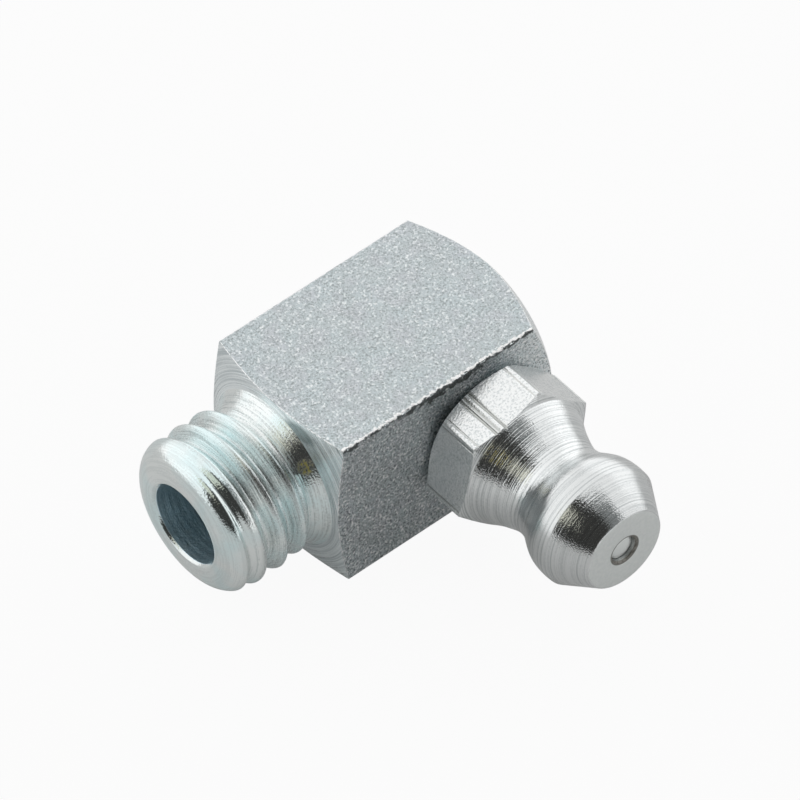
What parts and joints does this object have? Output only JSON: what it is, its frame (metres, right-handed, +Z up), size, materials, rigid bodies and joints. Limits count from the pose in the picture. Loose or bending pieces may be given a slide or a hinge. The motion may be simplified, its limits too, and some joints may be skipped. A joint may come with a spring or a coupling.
{
  "type": "angled grease nipple",
  "caption": "Right-angle grease fitting: square elbow body with a male threaded shank, and a spring-loaded ball-check coupler head at 90 degrees to it.",
  "frame": {"origin": "on the lower flat of the square body, straight below the point where the shank axis and the coupler axis cross", "axes": "the threaded shank points along -X, the coupler head along -Y, +Z is up from the lower flat"},
  "size_m": [0.0185, 0.0189, 0.009],
  "materials": {
    "zinc_plated_body": "bright zinc plate over sawn and turned steel",
    "zinc_plated_nipple": "bright zinc plate over turned steel",
    "ball_steel": "polished bearing steel",
    "spring_wire": "drawn spring wire"
  },
  "bodies": {
    "fitting": {"elbow_body": "zinc_plated_body", "nipple": "zinc_plated_nipple", "spring": "spring_wire"},
    "ball": {"check_ball": "ball_steel"}
  },
  "joints": [
    {"name": "check_ball_lift", "type": "slide", "parent": "fitting", "child": "ball", "axis": [0, 1, 0], "range_m": [0, 0.0024], "stiffness_N_per_m": 2000, "springref_m": -0.0005, "deforming": ["spring"]}
  ]
}
